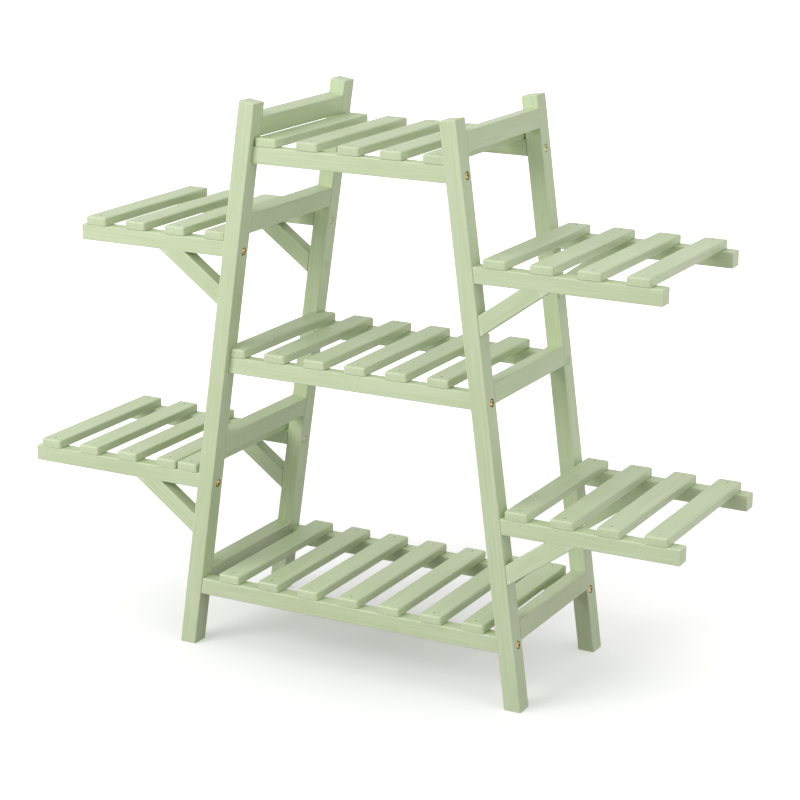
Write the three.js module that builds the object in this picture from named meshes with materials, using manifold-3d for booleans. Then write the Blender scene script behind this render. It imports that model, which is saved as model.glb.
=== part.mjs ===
// Plant ladder stand: two A-shaped ladder sides carry three slatted shelves between them and
// four slatted shelves on braced arms outside them. Painted softwood, bolted together.
// Millimetres, +Z up, +X to the right seen from the front, +Y to the back.
// The origin is on the floor, in the middle of the stand's overall width and depth.

import * as THREE from 'three';
import { mergeVertices, toCreasedNormals } from 'three/addons/utils/BufferGeometryUtils.js';
import Module from 'manifold-3d';

const wasm = await Module();
wasm.setup();

// Overall
const HEIGHT = 800;
const DEPTH = 278; // front face of the front legs to back face of the back legs
const FOOT_SPAN = 547.6; // outer faces of the legs, at the floor
const TOP_SPAN = 326.8; // outer faces of the legs, at the top
const LEAN = Math.atan((FOOT_SPAN - TOP_SPAN) / 2 / HEIGHT);

// Legs
const LEG_THICKNESS = 24.8; // across the ladder side
const LEG_DEPTH = 28;
const LEG_ROUND = 1.8;

// Rungs, tenoned into the legs
const RUNG_THICKNESS = 24;
const RUNG_HEIGHT = 28;
const RUNG_ROUND = 1.6;
const TENON_LENGTH = 10;
const TENON_THICKNESS = 12;
const TENON_HEIGHT = 20;
// Height of each rung's middle above the floor
const RIGHT_RUNGS = { top: 768, middle: 435.5, bottom: 108 };
const LEFT_RUNGS = { top: 766, upper: 629, lower: 305, bottom: 103 };

// Slats
const SLAT_WIDTH = 34;
const SLAT_THICKNESS = 12;
const SLAT_CORNER = 3.6;
const SLAT_ROUND = 2.8; // top arris
const SLAT_OVERHANG = 0.8; // past the rail's face

// Centre shelves: level is the underside of the slats, inset is from the legs' faces to the rails'.
// offset moves the row of slats off the stand's middle. On a notched shelf the first slat is let in
// round the legs.
const CENTRE_RAIL_HEIGHT = 24;
const CENTRE_SHELVES = {
  top: { level: 737.7, railThickness: 18, inset: 10, slats: 5, pitch: 63.8, offset: 0 },
  middle: {
    level: 437.5, railThickness: 18, inset: 10, slats: 6, pitch: 63.5, offset: -22, notched: true,
  },
  bottom: { level: 103.5, railThickness: 22, inset: 1.5, slats: 7, pitch: 64.8, offset: 4.2 },
};

// Side shelves: reach is from the stand's middle to the ends of the arms, first to the near edge
// of the first of the evenly spaced slats. infill adds one more slat between that one and the leg.
const ARM_HEIGHT = 22.5;
const RIGHT_ARM = { thickness: 23, inset: 1.5 };
const LEFT_ARM = { thickness: 23, inset: 5 };
const SIDE_SHELVES = {
  upper_right: { level: 610, reach: 456, first: 204.2, pitch: 67, slats: 4, infill: false },
  lower_right: { level: 272, reach: 493, first: 242.8, pitch: 66.4, slats: 4, infill: false },
  upper_left: { level: 603, reach: 430.5, first: 191.4, pitch: 65.7, slats: 4, infill: false },
  lower_left: { level: 260.5, reach: 524, first: 279.4, pitch: 67, slats: 4, infill: true },
};
const INFILL_GAP = 2.2;

// Braces under the arms
const BRACE_WIDTH = 25;
const BRACE_SETBACK = 0.3; // of the brace's faces from the arm's
const BRACE_ANGLE = THREE.MathUtils.degToRad(36); // below the horizontal
const BRACE_REACH = 107; // leg face to the brace's lower edge, along the arm's underside

// Seats of the countersunk bolts in the legs
const BOLT_DEPTH = 16.5; // from the leg's front or back face
const BOLT_HEAD_RADIUS = 6.2;
const BOLT_SHANK_RADIUS = 3.2;
const BRACE_BOLT_HEAD_RADIUS = 4.6;
const BRACE_BOLT_SHANK_RADIUS = 2.2;
const SEAT_DEPTH = 3.4;

const RAIL_ROUND = 1.6;
const ARRIS_STEPS = 2;
const GAP = 0.3; // paint line between pieces that meet

const PAINT = { color: 0xc2d0a9, roughness: 0.58, metalness: 0 };

const X = new THREE.Vector3(1, 0, 0);
const Y = new THREE.Vector3(0, 1, 0);
const Z = new THREE.Vector3(0, 0, 1);

// Distance from the stand's middle to the legs' outer faces at height z.
function legFace(z) {
  return THREE.MathUtils.lerp(FOOT_SPAN, TOP_SPAN, z / HEIGHT) / 2;
}

// Length along a leaning leg from the floor to height z.
function alongLeg(z) {
  return z / Math.cos(LEAN);
}

function plane(normal, point) {
  return new THREE.Plane().setFromNormalAndCoplanarPoint(normal.clone().normalize(), point);
}

// Corner points of a rounded rectangle, anticlockwise.
function roundedRectangle(width, height, radius) {
  const points = [];
  const corners = [[1, 1], [-1, 1], [-1, -1], [1, -1]];
  corners.forEach(([sx, sy], corner) => {
    const x = sx * (width / 2 - radius);
    const y = sy * (height / 2 - radius);
    for (let i = 0; i <= ARRIS_STEPS; i++) {
      const angle = (corner + i / ARRIS_STEPS) * Math.PI / 2;
      points.push(new THREE.Vector2(x + radius * Math.cos(angle), y + radius * Math.sin(angle)));
    }
  });
  return points;
}

// A closed skin through rings of equal count, the first and last closed flat.
function loft(rings) {
  const count = rings[0].length;
  const index = [];
  for (let ring = 1; ring < rings.length; ring++) {
    const low = (ring - 1) * count;
    const high = ring * count;
    for (let i = 0; i < count; i++) {
      const next = (i + 1) % count;
      index.push(low + i, low + next, high + next);
      index.push(low + i, high + next, high + i);
    }
  }
  const last = (rings.length - 1) * count;
  for (let i = 1; i < count - 1; i++) {
    index.push(0, i + 1, i);
    index.push(last, last + i, last + i + 1);
  }
  const geometry = new THREE.BufferGeometry().setFromPoints(rings.flat());
  geometry.setIndex(index);
  return geometry;
}

// A straight bar of rounded rectangular section. Its length runs along `along` through `at`, its
// width lies along `across`, and the planes `from` and `to` cut its ends, so a bar that meets a
// leaning leg is scribed to it. An ease rounds the arris round that end.
function bar({ width, height, round, at, along, across, from, to, easeFrom = 0, easeTo = 0 }) {
  const up = along.clone().cross(across);
  const ring = (cut, inset, shift) => {
    const radius = Math.max(round - inset, 0.6);
    return roundedRectangle(width - 2 * inset, height - 2 * inset, radius).map((corner) => {
      const point = at.clone().addScaledVector(across, corner.x).addScaledVector(up, corner.y);
      const distance = -cut.distanceToPoint(point) / cut.normal.dot(along);
      return point.addScaledVector(along, distance + shift);
    });
  };
  const rings = [];
  const stepsFrom = easeFrom > 0 ? ARRIS_STEPS : 0;
  const stepsTo = easeTo > 0 ? ARRIS_STEPS : 0;
  for (let i = 0; i <= stepsFrom; i++) {
    const turn = stepsFrom ? (i / stepsFrom) * Math.PI / 2 : Math.PI / 2;
    rings.push(ring(from, easeFrom * (1 - Math.sin(turn)), easeFrom * (1 - Math.cos(turn))));
  }
  for (let i = stepsTo; i >= 0; i--) {
    const turn = stepsTo ? (i / stepsTo) * Math.PI / 2 : Math.PI / 2;
    rings.push(ring(to, easeTo * (1 - Math.sin(turn)), -easeTo * (1 - Math.cos(turn))));
  }
  return loft(rings);
}

function toSolid(geometry) {
  const shell = new THREE.BufferGeometry();
  shell.setAttribute('position', geometry.getAttribute('position'));
  shell.setIndex(geometry.getIndex());
  const merged = mergeVertices(shell, 1e-4);
  const vertProperties = Float32Array.from(merged.getAttribute('position').array);
  const triVerts = Uint32Array.from(merged.getIndex().array);
  return new wasm.Manifold(new wasm.Mesh({ numProp: 3, vertProperties, triVerts }));
}

function fromSolid(solid) {
  const mesh = solid.getMesh();
  const geometry = new THREE.BufferGeometry();
  geometry.setAttribute('position', new THREE.BufferAttribute(mesh.vertProperties, 3));
  geometry.setIndex(new THREE.BufferAttribute(mesh.triVerts, 1));
  return geometry;
}

function cutFrom(geometry, cutters) {
  const cut = cutters.reduce((solid, cutter) => solid.subtract(toSolid(cutter)), toSolid(geometry));
  return fromSolid(cut);
}

function join(...geometries) {
  return fromSolid(geometries.map(toSolid).reduce((whole, piece) => whole.add(piece)));
}

function mesh(name, geometry) {
  const shaded = toCreasedNormals(geometry, Math.PI / 5);
  const piece = new THREE.Mesh(shaded, new THREE.MeshStandardMaterial(PAINT));
  piece.name = name;
  return piece;
}

// The conical seat of a bolt head, opening along +X at the origin and sunk SEAT_DEPTH into -X.
function boltSeat(headRadius, shankRadius) {
  const profile = [
    new THREE.Vector2(0, -SEAT_DEPTH),
    new THREE.Vector2(shankRadius, -SEAT_DEPTH),
    new THREE.Vector2(headRadius, 0),
    new THREE.Vector2(headRadius, 1),
    new THREE.Vector2(0, 1),
  ];
  return new THREE.LatheGeometry(profile, 16).rotateZ(-Math.PI / 2);
}

// A leg of the right-hand ladder side, seen square on: X outwards, Z up the leg, the outer face at
// X = 0. inwards is +1 on the front leg and -1 on the back one, towards the rungs.
function legGeometry(inwards, rungs, armLevels) {
  const centreY = -inwards * (DEPTH - LEG_DEPTH) / 2;
  const innerFaceY = centreY + inwards * LEG_DEPTH / 2;
  const floorNormal = new THREE.Vector3(Math.sin(LEAN), 0, Math.cos(LEAN));
  const stock = bar({
    width: LEG_THICKNESS,
    height: LEG_DEPTH,
    round: LEG_ROUND,
    at: new THREE.Vector3(-LEG_THICKNESS / 2, centreY, 0),
    along: Z,
    across: X,
    from: plane(floorNormal, new THREE.Vector3(0, 0, 0)),
    to: plane(Z, new THREE.Vector3(0, 0, alongLeg(HEIGHT))),
    easeFrom: 1,
    easeTo: 1.6,
  });

  const mortises = rungs.map((z) => {
    const mortise = new THREE.BoxGeometry(
      TENON_THICKNESS + 2 * GAP,
      2 * (TENON_LENGTH + GAP),
      TENON_HEIGHT + 2 * GAP,
    );
    return mortise.translate(-LEG_THICKNESS / 2, innerFaceY, alongLeg(z));
  });

  const boltY = -inwards * (DEPTH / 2 - BOLT_DEPTH);
  const centreBolts = Object.values(CENTRE_SHELVES).map(({ level }) => {
    const seat = boltSeat(BOLT_HEAD_RADIUS, BOLT_SHANK_RADIUS);
    return seat.translate(0, boltY, alongLeg(level - CENTRE_RAIL_HEIGHT / 2));
  });
  const innerSeat = (head, shank, z) => {
    const seat = boltSeat(head, shank).rotateZ(Math.PI);
    return seat.translate(-LEG_THICKNESS, boltY, alongLeg(z));
  };
  const armBolts = armLevels.flatMap((level) => [
    innerSeat(BOLT_HEAD_RADIUS, BOLT_SHANK_RADIUS, level - ARM_HEIGHT / 2),
    innerSeat(BRACE_BOLT_HEAD_RADIUS, BRACE_BOLT_SHANK_RADIUS, braceFoot(level)),
  ]);
  return cutFrom(stock, [...mortises, ...centreBolts, ...armBolts]);
}

// Height of the middle of a brace's foot on the leg, under an arm at the given level.
function braceFoot(level) {
  const lowerEdge = BRACE_REACH / (Math.cos(BRACE_ANGLE) + Math.tan(LEAN) * Math.sin(BRACE_ANGLE));
  const drop = lowerEdge * Math.sin(BRACE_ANGLE);
  const footHeight = BRACE_WIDTH / Math.cos(BRACE_ANGLE);
  return level - ARM_HEIGHT - drop + footHeight / 2;
}

// A rung with a tenon on each end, in the same view as legGeometry.
function rungGeometry(z) {
  const shoulder = DEPTH / 2 - LEG_DEPTH - GAP;
  const at = new THREE.Vector3(-LEG_THICKNESS / 2, 0, alongLeg(z));
  const cutAt = (y) => plane(Y, new THREE.Vector3(0, y, 0));
  const body = bar({
    width: RUNG_HEIGHT,
    height: RUNG_THICKNESS,
    round: RUNG_ROUND,
    at,
    along: Y,
    across: Z,
    from: cutAt(-shoulder),
    to: cutAt(shoulder),
  });
  const tenons = bar({
    width: TENON_HEIGHT,
    height: TENON_THICKNESS,
    round: 1,
    at,
    along: Y,
    across: Z,
    from: cutAt(-shoulder - TENON_LENGTH),
    to: cutAt(shoulder + TENON_LENGTH),
    easeFrom: 1,
    easeTo: 1,
  });
  return join(body, tenons);
}

// One ladder side, built as the right-hand one and turned half round for the left.
function ladderSide(side, rungs) {
  const onLeft = side === 'left';
  const ladder = new THREE.Group();
  const heights = Object.values(rungs);
  const armLevels = Object.entries(SIDE_SHELVES)
    .filter(([shelf]) => shelf.endsWith(side))
    .map(([, { level }]) => level);
  for (const inwards of [1, -1]) {
    const end = (inwards > 0) === onLeft ? 'back' : 'front';
    ladder.add(mesh(`leg_${end}_${side}`, legGeometry(inwards, heights, armLevels)));
  }
  for (const [name, z] of Object.entries(rungs)) {
    ladder.add(mesh(`rung_${side}_${name}`, rungGeometry(z)));
  }
  ladder.position.x = FOOT_SPAN / 2;
  ladder.rotation.y = -LEAN;

  const turned = new THREE.Group();
  turned.rotation.z = onLeft ? Math.PI : 0;
  turned.add(ladder);
  return turned;
}

// A slat lying front to back, its underside at Z = 0, with the top arris and the corners rounded.
function slatGeometry(length) {
  return bar({
    width: SLAT_WIDTH,
    height: length,
    round: SLAT_CORNER,
    at: new THREE.Vector3(),
    along: Z,
    across: X,
    from: plane(Z, new THREE.Vector3()),
    to: plane(Z, new THREE.Vector3(0, 0, SLAT_THICKNESS)),
    easeFrom: 0.6,
    easeTo: SLAT_ROUND,
  });
}

// A shelf rail between the legs of the two sides, its ends scribed to their lean.
function railGeometry(level, thickness) {
  const middle = level - CENTRE_RAIL_HEIGHT / 2;
  const end = (side) => {
    const legNormal = new THREE.Vector3(side * Math.cos(LEAN), 0, Math.sin(LEAN));
    const innerFace = legFace(middle) - LEG_THICKNESS / Math.cos(LEAN) - GAP;
    return plane(legNormal, new THREE.Vector3(side * innerFace, 0, -CENTRE_RAIL_HEIGHT / 2));
  };
  return bar({
    width: thickness,
    height: CENTRE_RAIL_HEIGHT,
    round: RAIL_ROUND,
    at: new THREE.Vector3(0, 0, -CENTRE_RAIL_HEIGHT / 2),
    along: X,
    across: Y,
    from: end(-1),
    to: end(1),
  });
}

// The space that a left-hand leg takes up at a height, seen from a shelf at that level.
function legSpace(level, side) {
  const x = -legFace(level) + LEG_THICKNESS / 2 / Math.cos(LEAN);
  return new THREE.BoxGeometry(LEG_THICKNESS + 2 * GAP, LEG_DEPTH + 2 * GAP, 60)
    .rotateY(LEAN)
    .translate(x, side * (DEPTH - LEG_DEPTH) / 2, 0);
}

function centreShelf(name, { level, railThickness, inset, slats, pitch, offset, notched }) {
  const shelf = new THREE.Group();
  shelf.position.z = level;
  for (const [end, side] of [['front', -1], ['back', 1]]) {
    const rail = mesh(`rail_${name}_${end}`, railGeometry(level, railThickness));
    rail.position.y = side * (DEPTH / 2 - inset - railThickness / 2);
    rail.position.z = -GAP;
    shelf.add(rail);
  }
  for (let i = 0; i < slats; i++) {
    const x = offset + (i - (slats - 1) / 2) * pitch;
    let geometry = slatGeometry(DEPTH - 2 * inset + 2 * SLAT_OVERHANG);
    if (notched && i === 0) {
      const legs = [-1, 1].map((side) => legSpace(level, side).translate(-x, 0, 0));
      geometry = cutFrom(geometry, legs);
    }
    const slat = mesh(`slat_${name}_${i + 1}`, geometry);
    slat.position.x = x;
    shelf.add(slat);
  }
  return shelf;
}

// An arm that stands out from the leg, with its brace. X outwards from the stand's middle, the top
// at Z = 0. The brace is housed in the arm's underside and its foot is scribed to the leg.
function armGeometry(level, reach, thickness) {
  const legNormal = new THREE.Vector3(Math.cos(LEAN), 0, Math.sin(LEAN));
  const legPlane = plane(legNormal, new THREE.Vector3(legFace(level) + GAP, 0, 0));
  const rail = bar({
    width: thickness,
    height: ARM_HEIGHT,
    round: RAIL_ROUND,
    at: new THREE.Vector3(0, 0, -ARM_HEIGHT / 2),
    along: X,
    across: Y,
    from: legPlane,
    to: plane(X, new THREE.Vector3(reach, 0, 0)),
    easeTo: 1.4,
  });

  const housing = 3;
  const downhill = new THREE.Vector3(-Math.cos(BRACE_ANGLE), 0, -Math.sin(BRACE_ANGLE));
  const uphillNormal = Y.clone().cross(downhill);
  const lowerEdge = new THREE.Vector3(
    legFace(level - ARM_HEIGHT) + BRACE_REACH,
    0,
    -ARM_HEIGHT,
  );
  const brace = bar({
    width: thickness - 2 * BRACE_SETBACK,
    height: BRACE_WIDTH,
    round: RAIL_ROUND,
    at: lowerEdge.addScaledVector(uphillNormal, BRACE_WIDTH / 2),
    along: downhill,
    across: Y,
    from: plane(Z, new THREE.Vector3(0, 0, housing - ARM_HEIGHT)),
    to: legPlane,
  });
  return join(rail, brace);
}

// A shelf outside a ladder side, built as a right-hand one and turned half round for the left.
function sideShelf(name, { level, reach, first, pitch, slats, infill }) {
  const onLeft = name.endsWith('left');
  const { thickness, inset } = onLeft ? LEFT_ARM : RIGHT_ARM;
  const shelf = new THREE.Group();
  shelf.position.z = level;
  shelf.rotation.z = onLeft ? Math.PI : 0;
  for (const side of [-1, 1]) {
    const end = (side < 0) === onLeft ? 'back' : 'front';
    const arm = mesh(`arm_${name}_${end}`, armGeometry(level, reach, thickness));
    arm.position.y = side * (DEPTH / 2 - inset - thickness / 2);
    arm.position.z = -GAP;
    shelf.add(arm);
  }

  const nearEdges = Array.from({ length: slats }, (_, i) => first + i * pitch);
  if (infill) nearEdges.unshift(first - INFILL_GAP - SLAT_WIDTH);
  nearEdges.forEach((edge, i) => {
    const length = DEPTH - 2 * inset + 2 * SLAT_OVERHANG;
    const slat = mesh(`slat_${name}_${i + 1}`, slatGeometry(length));
    slat.position.x = edge + SLAT_WIDTH / 2;
    shelf.add(slat);
  });
  return shelf;
}

const stand = new THREE.Group();
stand.add(ladderSide('left', LEFT_RUNGS));
stand.add(ladderSide('right', RIGHT_RUNGS));
for (const [name, shelf] of Object.entries(CENTRE_SHELVES)) stand.add(centreShelf(name, shelf));
for (const [name, shelf] of Object.entries(SIDE_SHELVES)) stand.add(sideShelf(name, shelf));

// The left arms reach further than the right ones, so the stand is moved to centre its width.
const reachLeft = Math.max(SIDE_SHELVES.upper_left.reach, SIDE_SHELVES.lower_left.reach);
const reachRight = Math.max(SIDE_SHELVES.upper_right.reach, SIDE_SHELVES.lower_right.reach);
stand.position.x = (reachLeft - reachRight) / 2;

export default stand;
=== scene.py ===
import math
import random

import bmesh
import bpy
from mathutils import Matrix, Vector


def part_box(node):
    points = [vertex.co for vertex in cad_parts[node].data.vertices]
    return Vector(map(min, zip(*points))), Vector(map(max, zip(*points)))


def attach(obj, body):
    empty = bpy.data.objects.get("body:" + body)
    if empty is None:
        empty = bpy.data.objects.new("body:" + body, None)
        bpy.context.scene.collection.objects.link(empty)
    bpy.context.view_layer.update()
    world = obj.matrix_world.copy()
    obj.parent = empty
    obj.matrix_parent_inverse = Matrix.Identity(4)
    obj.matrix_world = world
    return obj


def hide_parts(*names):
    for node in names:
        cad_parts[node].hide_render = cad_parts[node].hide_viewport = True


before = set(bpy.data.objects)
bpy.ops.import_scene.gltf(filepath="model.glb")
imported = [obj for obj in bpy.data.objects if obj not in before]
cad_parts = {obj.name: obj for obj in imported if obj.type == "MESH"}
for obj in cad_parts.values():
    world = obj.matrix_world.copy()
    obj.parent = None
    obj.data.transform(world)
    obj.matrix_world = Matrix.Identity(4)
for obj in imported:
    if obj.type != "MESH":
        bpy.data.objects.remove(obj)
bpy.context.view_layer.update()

bl_info = {
    "name": "Plant Ladder Stand",
    "version": (1, 0, 0),
    "blender": (4, 5, 0),
    "location": "3D View > Sidebar > Plant Stand",
    "description": "Builds a painted timber plant ladder stand on its packed frame",
    "category": "Add Mesh",
}

MM = 0.001
BODY = "root"

# The stand as its solids have it, in metres.
NODES = sorted(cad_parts)
FOOT_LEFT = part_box("leg_front_left")[0][0]
FOOT_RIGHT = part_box("leg_front_right")[1][0]
MIDDLE_X = (FOOT_LEFT + FOOT_RIGHT) / 2
HALF_FOOT = (FOOT_RIGHT - FOOT_LEFT) / 2
HEIGHT = 800 * MM
DEPTH = 278 * MM
HALF_TOP = 163.4 * MM
LEAN = math.atan((HALF_FOOT - HALF_TOP) / HEIGHT)
LEG_THICKNESS = 24.8 * MM
LEG_DEPTH = 28 * MM
RUNG_THICKNESS = 24 * MM
RUNG_HEIGHT = 28 * MM
TENON = (12 * MM, 20 * MM, 10 * MM)  # thickness, height, length
PAINT_LINE = 0.3 * MM  # between pieces that meet
CENTRE_RAIL_HEIGHT = 24 * MM
ARM_HEIGHT = 22.5 * MM
BRACE_WIDTH = 25 * MM
BRACE_SETBACK = 0.3 * MM  # of a brace's faces from the arm's
BRACE_ANGLE = math.radians(36)
BRACE_REACH = 107 * MM
BRACE_HOUSING = 3 * MM
RAIL_CLEARANCE = LEG_THICKNESS + PAINT_LINE  # from a leg's outer face to a rail's end
NOTCHED_SLAT = "slat_middle_1"  # let in round the left legs
FIT = 0.6 * MM  # by how much a timber may miss its solid
CREASE = math.radians(38)  # between faces that meet in a sharp edge

SIDES = {"left": -1, "right": 1}
ENDS = {"front": -1, "back": 1}
CENTRE_SHELVES = ("top", "middle", "bottom")
SIDE_SHELVES = ("upper_left", "upper_right", "lower_left", "lower_right")

# Bolts through rails and arms, and the smaller screws in the feet of the braces.
BOLT_DEPTH = 16.5 * MM  # from a leg's front or back face
SEAT_DEPTH = 3.4 * MM
BOLT_SEAT = (6.2 * MM, 3.2 * MM)  # radius at the leg's face and at the bottom
SCREW_SEAT = (4.6 * MM, 2.2 * MM)
BOLT_SHANK = (3 * MM, 52 * MM)  # radius, length
SCREW_SHANK = (2 * MM, 40 * MM)
BOLT_SUNK = 0.35 * MM  # of a bolt's rim below the leg's face
SCREW_SUNK = 0.3 * MM
DOME_CROWN = 0.9 * MM  # of a bolt head over its rim
DOME_CURVE = 8 * MM  # radius of a bolt head's dome
PAINTED_OVER = {  # how much of a bolt head the brush has covered
    "bolt_front_left_4": 0.4,
    "bolt_back_left_4": 0.55,
    "bolt_back_left_5": 0.5,
    "bolt_back_right_1": 0.48,
    "bolt_back_right_2": 0.7,
    "bolt_back_right_3": 0.15,
}

# The studio, in metres.
WHITE_FLOOR = 1.9  # distance from the stand at which the floor's glow is full
SOFTBOX = 2.2  # width of both softboxes
FRONT_SOFTBOX = (-1.5, -2.9, 1.9)
RIGHT_SOFTBOX = (3.2, -0.9, 1.1)
LIGHTS_AIM = (0, 0, 0.5)

X = Vector((1, 0, 0))
Y = Vector((0, 1, 0))
Z = Vector((0, 0, 1))
STAND_HALF = Vector((0.5, 0.5, 0.5))  # of the space in which the nails have their places


# ---------------------------------------------------------------- settings


class StandTimber(bpy.types.PropertyGroup):
    """How far the timber's arrises are eased"""

    leg_arris: bpy.props.FloatProperty(
        name="Leg arris",
        description="Radius of the legs' long arrises",
        default=1.8 * MM,
        unit="LENGTH",
    )
    leg_top_arris: bpy.props.FloatProperty(
        name="Leg top arris",
        description="Radius round the sawn tops of the legs",
        default=1.5 * MM,
        unit="LENGTH",
    )
    foot_arris: bpy.props.FloatProperty(
        name="Foot arris",
        description="Radius round the feet of the legs",
        default=1.0 * MM,
        unit="LENGTH",
    )
    rung_arris: bpy.props.FloatProperty(
        name="Rung arris",
        description="Radius of the rungs' long arrises",
        default=1.6 * MM,
        unit="LENGTH",
    )
    tenon_arris: bpy.props.FloatProperty(
        name="Tenon arris",
        description="Radius round the tips of the tenons",
        default=0.8 * MM,
        unit="LENGTH",
    )
    rail_arris: bpy.props.FloatProperty(
        name="Rail arris",
        description="Radius of the long arrises of rails, arms and braces",
        default=1.5 * MM,
        unit="LENGTH",
    )
    arm_end_arris: bpy.props.FloatProperty(
        name="Arm end arris",
        description="Radius round the free ends of the arms",
        default=1.4 * MM,
        unit="LENGTH",
    )
    slat_corner: bpy.props.FloatProperty(
        name="Slat corner",
        description="Radius of a slat's corners, seen from above",
        default=3.6 * MM,
        unit="LENGTH",
    )
    slat_arris: bpy.props.FloatProperty(
        name="Slat arris",
        description="Radius round a slat's upper face",
        default=2.7 * MM,
        unit="LENGTH",
    )
    slat_under_arris: bpy.props.FloatProperty(
        name="Slat under arris",
        description="Radius round a slat's lower face",
        default=1.0 * MM,
        unit="LENGTH",
    )


class StandHardware(bpy.types.PropertyGroup):
    """Sizes and colours of the bolts, screws and nails"""

    bolt_head: bpy.props.FloatProperty(
        name="Bolt head",
        description="Diameter of the sunk bolt heads",
        default=11.4 * MM,
        unit="LENGTH",
    )
    screw_head: bpy.props.FloatProperty(
        name="Brace screw head",
        description="Diameter of the screw heads at the feet of the braces",
        default=8.4 * MM,
        unit="LENGTH",
    )
    nail_head: bpy.props.FloatProperty(
        name="Nail head",
        description="Diameter of the nail heads in the slats",
        default=3.4 * MM,
        unit="LENGTH",
    )
    nail_inset: bpy.props.FloatProperty(
        name="Nail inset",
        description="From a slat's end to its nail",
        default=13 * MM,
        unit="LENGTH",
    )
    # Both nail colours are darker than the paint round them: painted shade of a punched nail hole,
    # with dirt spotted at random.
    nail_light: bpy.props.FloatVectorProperty(
        name="Nail, light",
        description="Paint on the cleaner nail heads",
        default=(0.46, 0.55, 0.31),
        size=3,
        min=0,
        max=1,
        subtype="COLOR",
    )
    nail_dirt_and_shade: bpy.props.FloatVectorProperty(
        name="Nail, dark",
        description="Paint on the dirtier nail heads",
        default=(0.2, 0.26, 0.12),
        size=3,
        min=0,
        max=1,
        subtype="COLOR",
    )
    brass: bpy.props.FloatVectorProperty(
        name="Brass",
        description="Colour of the bolt heads",
        default=(0.7, 0.47, 0.19),
        size=3,
        min=0,
        max=1,
        subtype="COLOR",
    )
    # Besides stains of oxide, this colour is the painted shade in the cross recess and the groove
    # of the bolt heads, and a painted dark reflection at the centre of the dome.
    tarnish_and_shade: bpy.props.FloatVectorProperty(
        name="Tarnish",
        description="Colour of the bolt heads where they have darkened",
        default=(0.05, 0.024, 0.008),
        size=3,
        min=0,
        max=1,
        subtype="COLOR",
    )


class StandFinish(bpy.types.PropertyGroup):
    """The paint"""

    paint_light: bpy.props.FloatVectorProperty(
        name="Paint, light",
        description="Sage paint where it is thickest",
        default=(0.635, 0.725, 0.485),
        size=3,
        min=0,
        max=1,
        subtype="COLOR",
    )
    paint_deep: bpy.props.FloatVectorProperty(
        name="Paint, deep",
        description="Sage paint where the timber darkens it",
        default=(0.565, 0.66, 0.4),
        size=3,
        min=0,
        max=1,
        subtype="COLOR",
    )
    # Paler paint on the arrises: partly paint worn thin, partly a painted highlight where a rounded
    # arris would catch the light.
    arris_wear_and_highlight: bpy.props.FloatVectorProperty(
        name="Worn arris",
        description="Colour where the paint is rubbed thin on an arris",
        default=(0.70, 0.77, 0.56),
        size=3,
        min=0,
        max=1,
        subtype="COLOR",
    )
    sheen: bpy.props.FloatProperty(
        name="Roughness",
        description="Middle roughness of the satin paint",
        default=0.4,
        min=0,
        max=1,
        subtype="FACTOR",
    )


class StandStage(bpy.types.PropertyGroup):
    """Camera, floor and light"""

    lens: bpy.props.FloatProperty(
        name="Lens",
        description="Focal length on a 36 mm sensor",
        default=104.98,
        unit="CAMERA",
    )
    eye: bpy.props.FloatVectorProperty(
        name="Eye",
        description="Where the camera stands",
        default=(1.5079, -2.80094, 1.27429),
        size=3,
        unit="LENGTH",
        subtype="XYZ",
    )
    aim: bpy.props.FloatVectorProperty(
        name="Aim",
        description="The point that the camera looks at",
        default=(0.03416, -0.01175, 0.37454),
        size=3,
        unit="LENGTH",
        subtype="XYZ",
    )
    roll: bpy.props.FloatProperty(
        name="Roll",
        description="Turn of the camera about its own axis",
        default=math.radians(0.412),
        unit="ROTATION",
    )
    floor_size: bpy.props.FloatProperty(
        name="Floor",
        description="Width of the floor",
        default=80,
        unit="LENGTH",
    )
    floor_tone: bpy.props.FloatProperty(
        name="Floor tone",
        description="How pale the floor looks",
        default=0.78,
        min=0,
        max=1,
        subtype="FACTOR",
    )
    floor_bounce: bpy.props.FloatProperty(
        name="Floor bounce",
        description="How much light the floor gives back to the stand",
        default=0.3,
        min=0,
        max=1,
        subtype="FACTOR",
    )
    floor_glow: bpy.props.FloatProperty(
        name="Floor glow",
        description="Keeps the open floor white to the camera, without lighting the stand",
        default=0.2,
        min=0,
        max=1,
        subtype="FACTOR",
    )
    room_light: bpy.props.FloatProperty(
        name="Room light",
        description="Strength of the even light from all round",
        default=0.24,
        min=0,
    )
    sky_light: bpy.props.FloatProperty(
        name="Sky light",
        description="Strength that the even light gains towards the zenith",
        default=1.0,
        min=0,
    )
    front_light: bpy.props.FloatProperty(
        name="Front light",
        description="Power of the soft light at the left front",
        default=72,
        min=0,
        unit="POWER",
    )
    right_light: bpy.props.FloatProperty(
        name="Right light",
        description="Power of the soft light at the right",
        default=19,
        min=0,
        unit="POWER",
    )


# ---------------------------------------------------------------- places on the stand


def leg_face(height):
    """Distance from the stand's middle to the outer faces of the legs at a height."""
    return HALF_FOOT - height * math.tan(LEAN)


def outward(side):
    """The direction that a ladder side's outer face looks in."""
    return Vector((side * math.cos(LEAN), 0, math.sin(LEAN)))


def up_leg(side):
    """The direction from a leg's foot to its top."""
    return Vector((-side * math.sin(LEAN), 0, math.cos(LEAN)))


def on_leg(side, height, y=0.0, sunk=0.0):
    """A point on the line where a leg's outer face has the height, sunk square to that face."""
    face = Vector((MIDDLE_X + side * leg_face(height), y, height))
    return face - outward(side) * sunk


def side_of(node):
    """Which ladder side a rung or an arm belongs to."""
    return SIDES["left" if "_left_" in node else "right"]


def corners(node):
    """The lowest and the highest corner of a node's box."""
    low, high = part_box(node)
    return Vector(low), Vector(high)


def shelf_level(shelf):
    """Height of the underside of a shelf's slats."""
    return corners(f"slat_{shelf}_1")[0].z


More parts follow.
